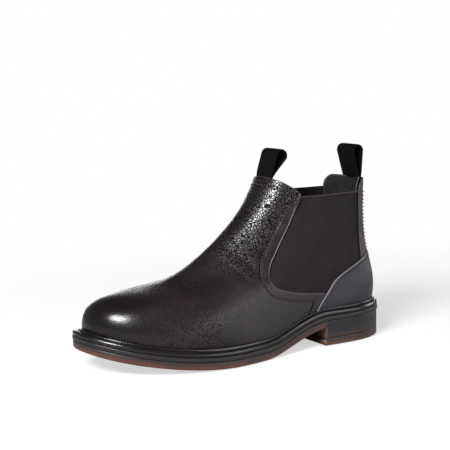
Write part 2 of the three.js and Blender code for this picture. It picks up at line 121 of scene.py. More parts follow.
# Edges of the panels in side view, as (y, z)
GORE_TOP_Z = 138
COLLAR_EDGE = [(-100, 160), (-86, 157), (-78, 153.5), (-68, 147.5), (-61.5, 142.5), (-58.5, 137.5)]
GORE_FRONT_EDGE = [(-58.5, 137.5), (-64, 128), (-73.5, 112), (-88, 92.5), (-98, 80), (-102, 70)]
GORE_BOTTOM_EDGE = [(-102, 70), (-98, 62.5), (-88, 58), (-70, 53.5), (-38, 48.6)]
COUNTER_FRONT_EDGE = [(-38, 48.6), (-44.5, 40.5), (-50.5, 28), (-54, 10)]
COUNTER_TOP_EDGE = [(-38, 48.6), (-28, 60.5), (-13, 68.5), (7, 75.5), (24, 80), (60, 83)]
STRAP_Y = 6.5
STRAP_CORNER = 12
STRAP_TOP_Z = 150
STRAP_FOOT_EDGE = [(60, 83), (24, 80), (12, 77), (STRAP_Y, 75.2)]
UNDERLAP = 8
GORE_HIDDEN_EDGE = [
    (-66.5, GORE_TOP_Z), (-82, 112), (-97, 92), (-108, 76), (-109, 64), (-100, 55), (-72, 46.5),
    (-40, 43), (-32, 46), (-22, 55), (-10, 61), (STRAP_Y + UNDERLAP, 68),
]

# Sewing
ROW_INSET = 8  # the row of stitches along the collar and the gores
COVER_ROW_INSET = 3.6
STITCH = 2.6
STITCH_PITCH = 3.3
THREAD = 0.34
WELT_STITCH = 3.2
WELT_PITCH = 4
WELT_GROOVE = 0.58  # share of the way from the sole's edge to the upper
WHIP_X = 19.5  # the whip-stitched rows up the back strap
WHIP_PITCH = 3.5
RIB = 1.3  # pitch of the elastic's ribs

# Pull loops
WEBBING_WIDTH = 26.5
WEBBING = 1.3
LOOP_BULGE = 5.9
LOOP_FOOT = 2
LOOP_DEPTH = 5.4
FRONT_LOOP_HEIGHT = 26
REAR_LOOP_HEIGHT = 30.5
FRONT_LOOP_TILT = -31
REAR_LOOP_TILT = 5
TAIL_ROWS = [0.9, 0.94, 0.98]  # heights of the rows of points in a loop's tails
TAIL_THICKNESS = 0.65
LOOP_STEPS = 6  # from one row of points to the next
WEBBING_RIB = 1
CHEVRON = 6  # width of the webbing's twill chevrons

# Camera, as for a product picture taken from the front of the outer side
CAMERA_AZIMUTH = 59.18
CAMERA_ELEVATION = 8.28
CAMERA_DISTANCE = 1077.4
CAMERA_LENS = 96.5
CAMERA_ROLL = 1.24
CAMERA_TARGET = (0, -121.5, 114.7)

LIT_PLACE = Vector((0, -0.1, 0.08))
WALL_LIGHT = 0.24
CEILING_LIGHT = 0.06


# ---------------- curves

def smoothstep(low, high, x):
    t = np.clip((x - low) / (high - low), 0, 1)
    return t * t * (3 - 2 * t)


def spline_weights(knots, x):
    """How much each knot's value counts at each x, on a natural cubic spline through the knots."""
    knots = np.asarray(knots, float)
    count = len(knots)
    width = np.diff(knots)
    system = np.eye(count)
    load = np.zeros((count, count))
    for i in range(1, count - 1):
        before, after = width[i - 1], width[i]
        system[i, i - 1:i + 2] = before, 2 * (before + after), after
        load[i, i - 1:i + 2] = 6 / before, -6 / before - 6 / after, 6 / after
    bend = np.linalg.solve(system, load)
    span = np.clip(np.searchsorted(knots, x, side="right") - 1, 0, count - 2)
    b = ((x - knots[span]) / width[span])[:, None]
    a = 1 - b
    value = np.eye(count)
    curve = (a ** 3 - a) * bend[span] + (b ** 3 - b) * bend[span + 1]
    return a * value[span] + b * value[span + 1] + curve * (width[span] ** 2)[:, None] / 6


def through(pairs, steps=10):
    """A smooth curve through the points, as a dense polyline."""
    points = np.array(pairs, float)
    padded = np.vstack([points[0], points, points[-1]])
    parts = []
    for i in range(len(points) - 1):
        p0, p1, p2, p3 = padded[i:i + 4]
        t = np.linspace(0, 1, steps, endpoint=False)[:, None]
        parts.append(0.5 * (
            2 * p1 + (p2 - p0) * t + (2 * p0 - 5 * p1 + 4 * p2 - p3) * t ** 2
            + (3 * p1 - p0 - 3 * p2 + p3) * t ** 3
        ))
    return np.vstack(parts + [points[-1:]])


def unit(vectors):
    return vectors / np.linalg.norm(vectors, axis=-1, keepdims=True)


def distances(line):
    """How far along a line each of its points is."""
    return np.r_[0, np.cumsum(np.linalg.norm(np.diff(line, axis=0), axis=1))]


def at_distances(stops, run, values):
    """Values given at the distances run, read at other distances."""
    return np.stack([np.interp(stops, run, column) for column in values.T], axis=1)


def ridge(x, centre, width):
    """A smooth ridge of height 1."""
    return np.exp(-((x - centre) / width) ** 2)


def arc(centre, radius, start, end, steps=8):
    """Points of an arc between two angles in degrees."""
    angles = np.linspace(math.radians(start), math.radians(end), steps)
    return [(centre[0] + radius * math.cos(a), centre[1] + radius * math.sin(a)) for a in angles]


# ---------------- the last

def sole_bottom(y):
    """Height of the sole's underside above the ground."""
    spring = TOE_SPRING * (np.maximum(SPRING_Y - y, 0) / (SPRING_Y - TOE_Y)) ** 2
    return spring + HEEL_RISE * smoothstep(WAIST_Y[0], WAIST_Y[1], y)


# The lowest row stands on the welt
ROWS[0, [1, 3]] = sole_bottom(ROWS[0, [0, 2]]) + SEAT + GAP


def swing(share):
    return spline_weights(STATIONS, share) @ SWING


def girth(angle, h):
    """Points of the upper's outer surface, one for each pair of angle and height."""
    angle, h = np.broadcast_arrays(np.atleast_1d(angle), h)
    rows = spline_weights(np.linspace(0, 1, len(ROWS)), h) @ ROWS
    front_y, front_z, back_y, back_z, front_radius = rows[:, :5].T
    length = back_y - front_y
    inner_share = np.array(STATIONS[1:-1])
    inner = rows[:, 5:10] / (2 * np.sqrt(inner_share * (1 - inner_share)))
    ends = np.sqrt(np.stack([front_radius, rows[:, 10]]) * length / 2)
    widths = np.column_stack([ends[0], inner, ends[1]])
    share = (1 - np.cos(angle)) / 2
    width = np.sum(spline_weights(STATIONS, share) * widths, axis=1)
    y = front_y + length * share
    toe_seat, heel_seat = sole_bottom(ROWS[0, 0]), sole_bottom(ROWS[0, 2])
    dip = sole_bottom(y) - (toe_seat + (heel_seat - toe_seat) * share)
    fade = np.maximum(1 - h * 1.6, 0) ** 1.5
    x = swing(share) * (1 - h) + np.sin(angle) * width
    return np.column_stack([x, y, front_z + (back_z - front_z) * share + dip * fade])


def outward(angle, h):
    """Unit normals of the upper's outer surface."""
    step = 0.004
    along = girth(angle + step, h) - girth(angle - step, h)
    up = girth(angle, np.minimum(h + step, 1)) - girth(angle, np.maximum(h - step, 0))
    return unit(np.cross(along, up))


def upper(angle, h, depth):
    """Points of the upper at a depth below its outer surface."""
    depth = np.broadcast_to(depth, np.shape(angle))
    return girth(angle, h) - outward(angle, h) * depth[:, None]


def inverse(y, z):
    """Angle and height of the points of the outer side that show at (y, z) in side view."""
    h = np.clip((z - 30) / 120, 0.05, 1)
    angle = np.full_like(h, 1.9)
    step = 1e-4
    for _ in range(25):
        here = girth(angle, h)[:, 1:]
        nearby = np.stack([girth(angle + step, h)[:, 1:], girth(angle, h + step)[:, 1:]], axis=2)
        error = np.column_stack([y, z]) - here
        turn, rise = np.linalg.solve((nearby - here[:, :, None]) / step, error[:, :, None])[:, :, 0].T
        angle = np.clip(angle + np.clip(turn, -0.3, 0.3), 0.3, 3.0)
        h = np.clip(h + np.clip(rise, -0.1, 0.1), 0, 1.05)
    return angle, h


def inset_from(at, angle, inset):
    """Points of a closed outline in plan, moved inwards by the inset."""
    step = 0.01
    along = unit(at(angle + step) - at(angle - step))
    return at(angle) + np.column_stack([-along[:, 1], along[:, 0]]) * inset


def sole_outline(angle, inset):
    def at(a):
        share = (1 - np.cos(a)) / 2
        width = spline_weights(SOLE_STATIONS, share) @ SOLE_WIDTHS
        return np.column_stack([swing(share) + np.sin(a) * width, TOE_Y + (BACK_Y - TOE_Y) * share])

    return inset_from(at, angle, inset)


def seat_outline(angle, inset):
    """Outline of the upper where it sits on the sole."""
    return inset_from(lambda a: girth(a, 0)[:, :2], angle, inset)


# ---------------- meshes

def add_object(name, data):
    thing = bpy.data.objects.new(name, data)
    bpy.context.scene.collection.objects.link(thing)
    return thing


def make_piece(name, points, faces, body, slot, material=None, nodes=None, **values):
    """Makes a smooth mesh from points in millimetres, and sets what it rides on and stands for.

    Unless they are given, the material is the slot's and the node of the frame has the piece's name.
    """
    mesh = bpy.data.meshes.new(name)
    mesh.from_pydata((points * MM).tolist(), [], faces)
    mesh.polygons.foreach_set("use_smooth", [True] * len(mesh.polygons))
    rest = mesh.attributes.new("rest", "FLOAT_VECTOR", "POINT")
    rest.data.foreach_set("vector", (points * MM).astype(np.float32).ravel())
    for key, value in values.items():
        mesh.attributes.new(key, "FLOAT", "POINT").data.foreach_set("value", value.astype(np.float32))
    mesh.materials.append(material or LOOKS[slot])
    piece = add_object(name, mesh)
    if body:
        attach(piece, body)
    nodes = [name.lower()] if nodes is None else nodes
    if nodes:
        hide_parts(*nodes)
    return piece


def blend_between(piece):
    """Bakes a piece's placement into its mesh."""
    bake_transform(piece)


def grid_faces(rows, columns, wrap=False):
    """Quads of a grid whose points run along its rows; wrap joins the last column to the first."""
    i, j = np.meshgrid(np.arange(rows - 1), np.arange(columns if wrap else columns - 1), indexing="ij")
    k = (j + 1) % columns
    this, following = i * columns, (i + 1) * columns
    return np.stack([this + j, this + k, following + k, following + j], axis=-1).reshape(-1, 4).tolist()


def signed_distance(outline, y, z, edge=None):
    """Distance of points to a side-view outline, or to an edge of it, negative outside the outline."""
    nearest = np.full(y.shape, np.inf)
    inside = np.zeros(y.shape, bool)
    for (y0, z0), (y1, z1) in zip(outline, np.roll(outline, -1, axis=0)):
        if z0 != z1:
            inside ^= ((z0 > z) != (z1 > z)) & (y < y0 + (z - z0) * (y1 - y0) / (z1 - z0))
    line = np.vstack([outline, outline[:1]]) if edge is None else edge
    for (y0, z0), (y1, z1) in zip(line[:-1], line[1:]):
        run, rise = y1 - y0, z1 - z0
        if run or rise:
            t = np.clip(((y - y0) * run + (z - z0) * rise) / (run * run + rise * rise), 0, 1)
            nearest = np.minimum(nearest, np.hypot(y - y0 - t * run, z - z0 - t * rise))
    return np.where(inside, nearest, -nearest)


def lattice(columns, rows, field):
    """A grid over two coordinates, with the field's value as the third."""
    u, v = np.meshgrid(columns, rows)
    points = np.column_stack([u.ravel(), v.ravel(), field(u.ravel(), v.ravel())])
    mesh = bpy.data.meshes.new("lattice")
    mesh.from_pydata(points.tolist(), [], grid_faces(len(rows), len(columns)))
    body = bmesh.new()
    body.from_mesh(mesh)
    bpy.data.meshes.remove(mesh)
    return body


def cut_lattice(body, level, clear):
    return bmesh.ops.bisect_plane(
        body, geom=body.verts[:] + body.edges[:] + body.faces[:], dist=1e-5,
        plane_co=(0, 0, level), plane_no=(0, 0, 1), clear_inner=clear,
    )["geom_cut"]


def cut_sheet(columns, rows, field, levels):
    """The part of a lattice where the field is positive, with edges along its levels.

    Returns the points as (u, v, field), the faces, and the border edges in the faces' direction.
    """
    body = lattice(columns, rows, field)
    cut_lattice(body, 0, True)
    for level in levels:
        cut_lattice(body, level, False)
    body.verts.index_update()
    points = np.array([v.co for v in body.verts])
    faces = [[v.index for v in f.verts] for f in body.faces]
    border = [
        (loop.vert.index, loop.link_loop_next.vert.index)
        for edge in body.edges if edge.is_boundary for loop in edge.link_loops
    ]
    body.free()
    return points, faces, border


def contour(columns, rows, field, level):
    """The longest line along which the field has the level, as ordered (u, v) points."""
    body = lattice(columns, rows, field)
    cut = cut_lattice(body, level, False)
    near = {}
    for edge in (g for g in cut if isinstance(g, bmesh.types.BMEdge)):
        a, b = edge.verts
        near.setdefault(a, []).append(b)
        near.setdefault(b, []).append(a)
    chains = []
    while near:
        start = next((v for v, others in near.items() if len(others) == 1), next(iter(near)))
        chain = [start]
        while True:
            others = [v for v in near.pop(chain[-1], []) if v in near]
            if not others:
                break
            chain.append(others[0])
        chains.append(np.array([v.co[:2] for v in chain]))
    body.free()
    return max(chains, key=len)


def rounded(distance, radius):
    """How far a rounded edge falls away at a distance from the border."""
    reach = radius - np.clip(distance, 0, radius)
    return radius - np.sqrt(radius * radius - reach * reach)


def thick_sheet(angle, h, distance, faces, border, layer, radius, relief):
    """Points and faces of a closed panel whose borders are rounded.

    The relief is on the outer face, or on the inner one of the linings.
    """
    fall = rounded(distance, radius)
    raised = relief(girth(angle, h), distance)
    inward = layer is LINING
    outer = upper(angle, h, layer[0] + fall - (0 if inward else raised))
    inner = upper(angle, h, layer[1] - fall + (raised if inward else 0))
    count = len(distance)
    closed = list(faces)
    closed += [[i + count for i in reversed(face)] for face in faces]
    closed += [(b, a, a + count, b + count) for a, b in border]
    return np.vstack([outer, inner]), closed


# ---------------- materials

def rgb(code):
    """Linear colour of a hex code."""
    channels = [int(code[i:i + 2], 16) / 255 for i in (1, 3, 5)]
    return [c / 12.92 if c < 0.04045 else ((c + 0.055) / 1.055) ** 2.4 for c in channels] + [1]


class Shader:
    """A node material or world being written: each method adds a node and returns its output."""

    def __init__(self, name, kind=bpy.data.materials):
        self.material = kind.new(name)
        self.material.use_nodes = True
        self.tree = self.material.node_tree
        self.tree.nodes.clear()

    def node(self, kind, inputs=(), **settings):
        node = self.tree.nodes.new("ShaderNode" + kind)
        for key, value in settings.items():
            setattr(node, key, value)
        for key, value in dict(inputs).items():
            if isinstance(value, bpy.types.NodeSocket):
                self.tree.links.new(value, node.inputs[key])
            elif value is not None:
                node.inputs[key].default_value = value
        return node

    def place(self):
        """Where the point was on the boot at rest, in metres."""
        return self.node("Attribute", attribute_name="rest").outputs["Vector"]

    def value(self, name):
        return self.node("Attribute", attribute_name=name).outputs["Fac"]

    def camera_ray(self):
        return self.node("LightPath").outputs["Is Camera Ray"]

    def axes(self, vector):
        return self.node("SeparateXYZ", {0: vector}).outputs

    def stretch(self, vector, factors):
        return self.node("VectorMath", {0: vector, 1: factors}, operation="MULTIPLY").outputs[0]

    def math(self, operation, a, b=None, c=None):
        return self.node("Math", {0: a, 1: b, 2: c}, operation=operation).outputs[0]

    def ramp(self, value, low, high, first=0, last=1):
        inputs = {"Value": value, "From Min": low, "From Max": high, "To Min": first, "To Max": last}
        return self.node("MapRange", inputs, interpolation_type="SMOOTHSTEP").outputs[0]

    def times(self, product, *factors):
        for factor in factors:
            product = self.math("MULTIPLY", product, factor)
        return product

    def plus(self, total, *terms):
        for term in terms:
            total = self.math("ADD", total, term)
        return total

    def mix(self, share, first, second):
        """Two colours mixed; either may be a hex code."""
        first, second = (rgb(c) if isinstance(c, str) else c for c in (first, second))
        return self.node("Mix", {0: share, 6: first, 7: second}, data_type="RGBA").outputs[2]

    def layers(self, colour, *layers):
        """A colour with others laid over it, each by its share."""
        for share, code in layers:
            colour = self.mix(share, colour, code)
        return colour

    def patches(self, vector, scale, first, second, detail=4):
        """A colour that drifts between two hex codes."""
        return self.mix(self.ramp(self.noise(vector, scale, detail), 0.3, 0.7), first, second)

    def noise(self, vector, scale, detail=3, roughness=0.55):
        inputs = {"Vector": vector, "Scale": scale, "Detail": detail, "Roughness": roughness}
        return self.node("TexNoise", inputs).outputs["Fac"]

    def cells(self, vector, scale):
        """Distance to the edge of a pattern of cells."""
        inputs = {"Vector": vector, "Scale": scale}
        return self.node("TexVoronoi", inputs, feature="DISTANCE_TO_EDGE").outputs["Distance"]

    def grain(self, vector, scale):
        """Domed pebbles, and how far each point is from the narrow cracks between them."""
        edge = self.cells(vector, scale)
        rise = self.math("MINIMUM", self.times(edge, 2.2), 1)
        dome = self.times(rise, self.math("SUBTRACT", 2, rise))
        tilt = self.noise(vector, scale * 0.7, 1)
        return self.math("MULTIPLY_ADD", tilt, 0.5, dome), self.ramp(edge, 0.04, 0.16)

    def blend(self, share, first, second):
        return self.node("Mix", {0: share, 2: first, 3: second}, data_type="FLOAT").outputs[0]

    def wave(self, coordinate, pitch):
        """A cosine between 0 and 1 with the given pitch."""
        turn = self.times(coordinate, 2 * math.pi / pitch)
        return self.math("MULTIPLY_ADD", self.math("COSINE", turn), 0.5, 0.5)

    def finish(self, colour, roughness, height=None, depth=0, normal=None, **more):
        """The surface; height between 0 and 1 stands for a relief as deep as depth, in metres."""
        if height is not None:
            inputs = {"Height": height, "Distance": depth, "Strength": 1, "Normal": normal}
            normal = self.node("Bump", inputs).outputs[0]
        inputs = {"Base Color": colour, "Roughness": roughness, "Normal": normal}
        inputs.update({key.replace("_", " "): value for key, value in more.items()})
        surface = self.node("BsdfPrincipled", inputs)
        self.node("OutputMaterial", {"Surface": surface.outputs[0]})
        return self.material


# Depths of relief, in metres
GRAIN_DEPTH = 0.000125
KNIT_DEPTH = 0.00022
WEAVE_DEPTH = 0.00018
THREAD_DEPTH = 0.0001
RUBBER_GRAIN = 0.00008


def pebbled_leather():
    """Grained on the shaft, finer on the vamp, and polished smooth at the toe."""
    s = Shader("pebbled_leather")
    place = s.place()
    _, y, z = s.axes(place)
    drift = s.node("TexNoise", {"Vector": place, "Scale": 70, "Detail": 1}).outputs["Color"]
    bent = s.node("VectorMath", {0: drift, 1: (0.0016, 0.0016, 0.0016), 2: place},
                  operation="MULTIPLY_ADD").outputs[0]
    coarse, coarse_tops = s.grain(bent, 370)
    fine, fine_tops = s.grain(s.stretch(bent, (0.6, 1.3, 1.6)), 420)
    creases = s.noise(s.stretch(place, (1, 0.35, 1.6)), 420, 4, 0.6)
    shaft = s.ramp(y, -0.165, -0.115)
    toe = s.ramp(y, -0.2, -0.245)
    border = s.value("edge")
    low = s.times(s.ramp(z, 0.09, 0.055), s.ramp(y, -0.18, -0.11))
    beside_gore = s.times(s.ramp(border, 15, 5), s.ramp(z, 0.142, 0.125))
    smooth = s.math("MAXIMUM", low, s.times(beside_gore, 0.7))
    grain = s.blend(s.times(smooth, 0.75), s.blend(shaft, fine, coarse), creases)
    tops = s.blend(s.times(smooth, 0.9), s.blend(shaft, fine_tops, coarse_tops), 1)
    strength = s.times(s.ramp(y, -0.245, -0.19, 0.4, 1), s.ramp(shaft, 0, 1, 0.56, 1),
                       s.ramp(smooth, 0, 1, 1, 0.75))
    height = s.times(grain, strength)
    cracks = s.times(s.math("SUBTRACT", 1, tops), s.times(strength, 0.75))
    groove = s.ramp(s.math("ABSOLUTE", s.math("SUBTRACT", border, ROW_INSET)), 1, 0.4)
    # cut marks a pale line along the gore's front edge: a painted glint on the rolled edge
    cut = s.times(s.ramp(border, 0.9, 0.3), s.ramp(z, 0.07, 0.085), s.ramp(z, 0.134, 0.124))
    colour = s.layers(
        s.patches(place, 30, "#161112", "#1e1719", 3),
        (s.times(cracks, s.ramp(shaft, 0, 1, 0.8, 0.3)), "#060404"),
        (s.times(toe, 0.7), "#0c0a0d"),
        (s.times(shaft, s.ramp(z, 0.065, 0.1, 0, 0.65)), "#0a0708"),
        # painted shade in the groove of the stitched row
        (s.times(groove, 0.9), "#050304"),
        (s.ramp(border, 1.1, 0.2), "#3a3233"),
        # painted glint along the gore's front edge
        (cut, "#8f8583"),
    )
    uneven = s.ramp(s.noise(place, 160, 2), 0.3, 0.7, -0.03, 0.05)
    leather = s.ramp(shaft, 0, 1, 0.28, 0.34)
    roughness = s.plus(s.blend(toe, leather, 0.2), s.times(uneven, strength), s.times(low, 0.2),
                       s.times(cracks, 0.4))
    dull = s.math("MAXIMUM", cracks, s.times(groove, 0.5))
    polish = s.times(s.ramp(shaft, 0, 1, 0.6, 0.85), s.ramp(smooth, 0, 1, 1, 0.7))
    gloss = s.ramp(dull, 0, 0.5, s.blend(toe, polish, 0.38), 0.03)
    waxed = s.times(s.ramp(z, 0.06, 0.09, 0, 0.26), s.ramp(y, -0.2, -0.14),
                    s.ramp(beside_gore, 0, 0.6, 1, 0), tops)
    return s.finish(colour, roughness, height, GRAIN_DEPTH, Specular_IOR_Level=gloss,
                    Coat_Weight=waxed, Coat_Roughness=0.36)


def smooth_leather(name, dark, light, edge, roughness, wrinkle=0.0002, gloss=0.5):
    """Close-grained satin leather, paler where its edge is cut."""
    s = Shader(name)
    place = s.place()
    pores = s.ramp(s.cells(place, 1100), 0, 0.3)
    folds = s.noise(s.stretch(place, (1, 0.5, 1.8)), 260, 4, 0.6)
    colour = s.mix(s.ramp(s.value("edge"), 1.2, 0.2), s.patches(place, 45, dark, light), edge)
    height = s.plus(s.times(pores, 0.35), s.times(folds, 0.65))
    rough = s.ramp(folds, 0.3, 0.7, roughness - 0.05, roughness + 0.08)
    return s.finish(colour, rough, height, wrinkle, Specular_IOR_Level=gloss)


def elastic():
    """Knitted elastic: fine upright ribs crossed by the rows of the knit."""
    s = Shader("gore_elastic")
    place = s.place()
    _, y, z = s.axes(place)
    pitch = RIB * MM
    rib = s.math("FLOOR", s.math("DIVIDE", y, pitch))
    rows = s.wave(s.plus(z, s.times(rib, pitch / 2)), pitch)
    knit = s.times(s.wave(y, pitch), s.ramp(rows, 0, 1, 0.45, 1))
    colour = s.layers(
        s.mix(knit, "#0d0709", "#191012"),
        # painted shade: the elastic darker towards the back strap
        (s.ramp(y, -0.035, 0.002, 0, 0.55), "#090506"),
        (s.ramp(s.noise(place, 60), 0.35, 0.75, 0, 0.35), "#20191a"),
        (s.ramp(s.value("edge"), 1.5, 0.8, 0, 0.6), "#3a3030"),
        (s.times(s.value("inside"), 0.7), "#0b0d0a"),
    )
    height = s.plus(knit, s.times(s.noise(place, 2400, 2), 0.3))
    return s.finish(colour, 0.86, height, KNIT_DEPTH, Sheen_Weight=0.06, Sheen_Roughness=0.4,
                    Specular_IOR_Level=0.3)


def webbing():
    """Black twill tape."""
    s = Shader("webbing")
    across = s.value("across")
    chevron = s.math("SUBTRACT", s.math("FRACT", s.math("DIVIDE", across, CHEVRON)), 0.5)
    slant = s.plus(s.value("along"), s.times(s.math("ABSOLUTE", chevron), 7))
    weave = s.times(s.wave(slant, 1.1), s.ramp(s.wave(across, WEBBING_RIB), 0, 1, 0.5, 1))
    height = s.plus(weave, s.times(s.noise(s.place(), 2600, 2), 0.35))
    return s.finish(s.mix(weave, "#020203", "#060609"), 0.8, height, WEAVE_DEPTH, Specular_IOR_Level=0.1)


def rubber(name, dark, light, roughness, scuff=0.12):
    """Moulded rubber with a slightly uneven, handled surface."""
    s = Shader(name)
    place = s.place()
    rough = s.ramp(s.noise(place, 140, 4), 0.3, 0.7, roughness - scuff / 2, roughness + scuff / 2)
    return s.finish(s.patches(place, 60, dark, light), rough, s.noise(place, 900, 3, 0.6), RUBBER_GRAIN)


def outsole_rubber():
    """Brown at the ground, dusky above."""
    s = Shader("sole_rubber")
    place = s.place()
    level = s.plus(s.value("level"), s.ramp(s.noise(place, 50, 3), 0.3, 0.7, -0.6, 0.6))
    colour = s.mix(s.ramp(level, 1.5, 5), s.patches(place, 60, "#48291f", "#583428"), "#2b1f22")
    rough = s.ramp(s.noise(place, 140, 4), 0.3, 0.7, 0.34, 0.46)
    return s.finish(colour, rough, s.noise(place, 900, 3, 0.6), RUBBER_GRAIN,
                    Subsurface_Weight=0.1, Subsurface_Scale=0.002)


def heel_rubber():
    """Black at the top, brown where it meets the lift."""
    s = Shader("heel_rubber")
    place = s.place()
    _, y, z = s.axes(place)
    level = s.plus(z, s.times(s.noise(place, 70, 3), 0.002))
    colour = s.mix(s.ramp(level, 0.013, 0.006), s.patches(place, 60, "#161318", "#221e24"), "#452a20")
    breast = s.ramp(y, (BREAST_Y + 1.5) * MM, (BREAST_Y + 0.5) * MM)
    colour = s.mix(s.times(breast, 0.75), colour, "#543930")
    return s.finish(colour, 0.4, s.noise(place, 900, 3, 0.6), RUBBER_GRAIN)


def thread(name, code):
    s = Shader(name)
    twist = s.noise(s.place(), 3000, 2)
    return s.finish(s.mix(twist, code, "#0c0a0a"), 0.55, twist, THREAD_DEPTH)


def flecked(name, dark, light, scale, roughness, bump, metallic=0):
    """For a node of the frame, which has no attributes of its own."""
    s = Shader(name)
    place = s.node("TexCoord").outputs["Object"]
    flecks = s.noise(place, scale, 5, 0.7)
    colour = s.mix(s.ramp(flecks, 0.35, 0.65), dark, light)
    return s.finish(colour, roughness, flecks, bump, Metallic=metallic)


# Two colours that it drifts between, colour of a cut edge, roughness, depth of wrinkles and gloss
LEATHERS = {
    "smooth_leather": ("#252229", "#2f2c35", "#5e5b62", 0.36),
    "strap_leather": ("#1d1513", "#261c1a", "#2f2523", 0.42),
    "lining_leather": ("#1d1d21", "#27272c", "#34343a", 0.62, 0.0001),
    "facing_leather": ("#101013", "#19191d", "#46454b", 0.6, 0.0007, 0.25),
    "sock_leather": ("#2c2a29", "#3a3734", "#4b4742", 0.6),
}
LOOKS = {name: smooth_leather(name, *look) for name, look in LEATHERS.items()}
LOOKS.update(
    pebbled_leather=pebbled_leather(),
    gore_elastic=elastic(),
    webbing=webbing(),
    welt_rubber=rubber("welt_rubber", "#0e0c0f", "#161317", 0.22, 0.1),
    midsole_rubber=rubber("midsole_rubber", "#151114", "#1f191d", 0.42),
    sole_rubber=outsole_rubber(),
    heel_rubber=heel_rubber(),
)
DARK_THREAD = thread("dark_thread", "#2c2422")
ROW_THREAD = thread("row_thread", "#5a4e4a")
WHIP_THREAD = thread("whip_thread", "#958c87")


# ---------------- outlines in side view

FAR_AHEAD = -300
FAR_UP = 200


def front_outline():
    """Everything in front of the gore and the heel cover."""
    edge = np.vstack([
        through(COLLAR_EDGE + GORE_FRONT_EDGE[1:] + GORE_BOTTOM_EDGE[1:]),
        through(COUNTER_FRONT_EDGE)[1:],
    ])
    return np.vstack([[(FAR_AHEAD, 0), (FAR_AHEAD, FAR_UP)], edge, [(edge[-1][0], 0)]])


def counter_outline(inset):
    edge = through(COUNTER_FRONT_EDGE[::-1] + COUNTER_TOP_EDGE[1:]) + (inset, -inset)
    return np.vstack([[(edge[0][0], -inset)], edge, [(edge[-1][0], -inset)]])


def back_outline(clearance):
    foot = through(STRAP_FOOT_EDGE) + (0, clearance)
    corner_z = STRAP_TOP_Z - STRAP_CORNER
    corner = arc((STRAP_Y + STRAP_CORNER, corner_z), STRAP_CORNER, 180, 90)
    return np.vstack([foot, corner, [(foot[0][0], STRAP_TOP_Z)]])


def gore_outline():
    return np.vstack([[(STRAP_Y + UNDERLAP, GORE_TOP_Z)], through(GORE_HIDDEN_EDGE)])


def side_field(outline, edge=None):
    """Distance inside the outline of the point at an angle and height, never past the top row."""
    def field(angle, h):
        point = girth(angle, h)
        top = (1 - h) * np.linalg.norm(point - girth(angle, h - 0.02), axis=1) / 0.02
        return np.minimum(signed_distance(outline, point[:, 1], point[:, 2], edge), np.maximum(top, 0))

    return field


# ---------------- upper

ROW_CROWDING = 1.3  # brings a panel's rows of points closer together near the sole
EDGE_SHARES = (0.08, 0.3, 0.6, 1)  # the rows of points round a rounded edge


def bumps(points, size):
    """Smooth noise between -1 and 1 over lumps of about the given size."""
    return np.array([noise.noise(Vector(p)) for p in points / size])


def vamp_relief(points, distance):
    """Soft unevenness, a welted row, and creases where the boot bends over the foot."""
    y, z = points[:, 1], points[:, 2]
    swell = 0.16 * bumps(points, 13) + 0.07 * bumps(points + 50, 5)
    row = -0.35 * ridge(distance, ROW_INSET, 0.9)
    lip = 0.18 * ridge(distance, 2.6, 2.2)
    bend = ridge(y, -118, 22) * smoothstep(40, 60, z) * smoothstep(105, 85, z)
    creases = -0.3 * bend * np.maximum(np.sin(y / 2.6 + z / 4 + 2.5 * bumps(points, 24)), 0) ** 3
    return swell * smoothstep(TOE_Y + 5, TOE_Y + 70, y) + row + lip + creases


def panel(name, outline, centre, reach, grid, layer, radius, relief, slot, body="boot", nodes=None):
    """A panel of the upper, of a grid of columns and rows that reaches to both sides of an angle."""
    angles = centre + np.linspace(-reach, reach, grid[0])
    heights = np.linspace(0, 1, grid[1]) ** ROW_CROWDING
    levels = [radius * share for share in EDGE_SHARES]
    sheet, faces, border = cut_sheet(angles, heights, side_field(outline), levels)
    points, faces = thick_sheet(*sheet.T, faces, border, layer, radius, relief)
    return make_piece(name, points, faces, body, slot, nodes=nodes, edge=np.tile(sheet[:, 2], 2))


def cover_relief(points, distance):
    row = -0.2 * ridge(distance, COVER_ROW_INSET, 0.7)
    return 0.1 * bumps(points, 12) + 0.12 * ridge(distance, 1.4, 1) + row


def facing_relief(points, distance):
    """The facing hangs a little loose, in shallow upright waves."""
    return 0.4 * bumps(points * (1, 1, 0.25), 6)


def soft_relief(points, distance):
    return 0.1 * bumps(points, 9)


def gore_relief(points, distance):
    """Ribs, and a rolled edge along the top."""
    ribs = 0.11 * np.cos(2 * math.pi * points[:, 1] / RIB)
    top = GORE_TOP_Z - points[:, 2]
    return ribs * smoothstep(1.2, 2, top) + 0.45 * ridge(top, 0.9, 0.7)


def build_gore(name, sign):
    """The elastic on the outer side, where the sign is 1, or on the inner side."""
    outline = gore_outline()
    front, bottom = np.min(GORE_HIDDEN_EDGE, axis=0) - 1
    rear, top = np.max(GORE_HIDDEN_EDGE, axis=0) + 1
    sheet, faces, border = cut_sheet(
        np.arange(front, rear, RIB / 5), np.linspace(bottom, top, 46),
        lambda y, z: signed_distance(outline, y, z), [0.2, 0.5, 0.9, 1.6])
    y, z, distance = sheet.T
    angle, h = inverse(y, z)
    points, faces = thick_sheet(sign * angle, h, distance, faces, border, ELASTIC, 0.4, gore_relief)
    if sign < 0:
        faces = [list(reversed(face)) for face in faces]
    edge = np.tile(GORE_TOP_Z - z, 2)
    inside = np.repeat([0, 1], len(z)) * smoothstep(7.5, 6.5, edge)
    gore = make_piece(name, points, faces, None, "gore_elastic", edge=edge, inside=inside)
    blend_between(gore)


def bend_at_foot(piece):
    """Bakes the placement of a piece on the back strap into its mesh."""
    blend_between(piece)


# ---------------- stitches

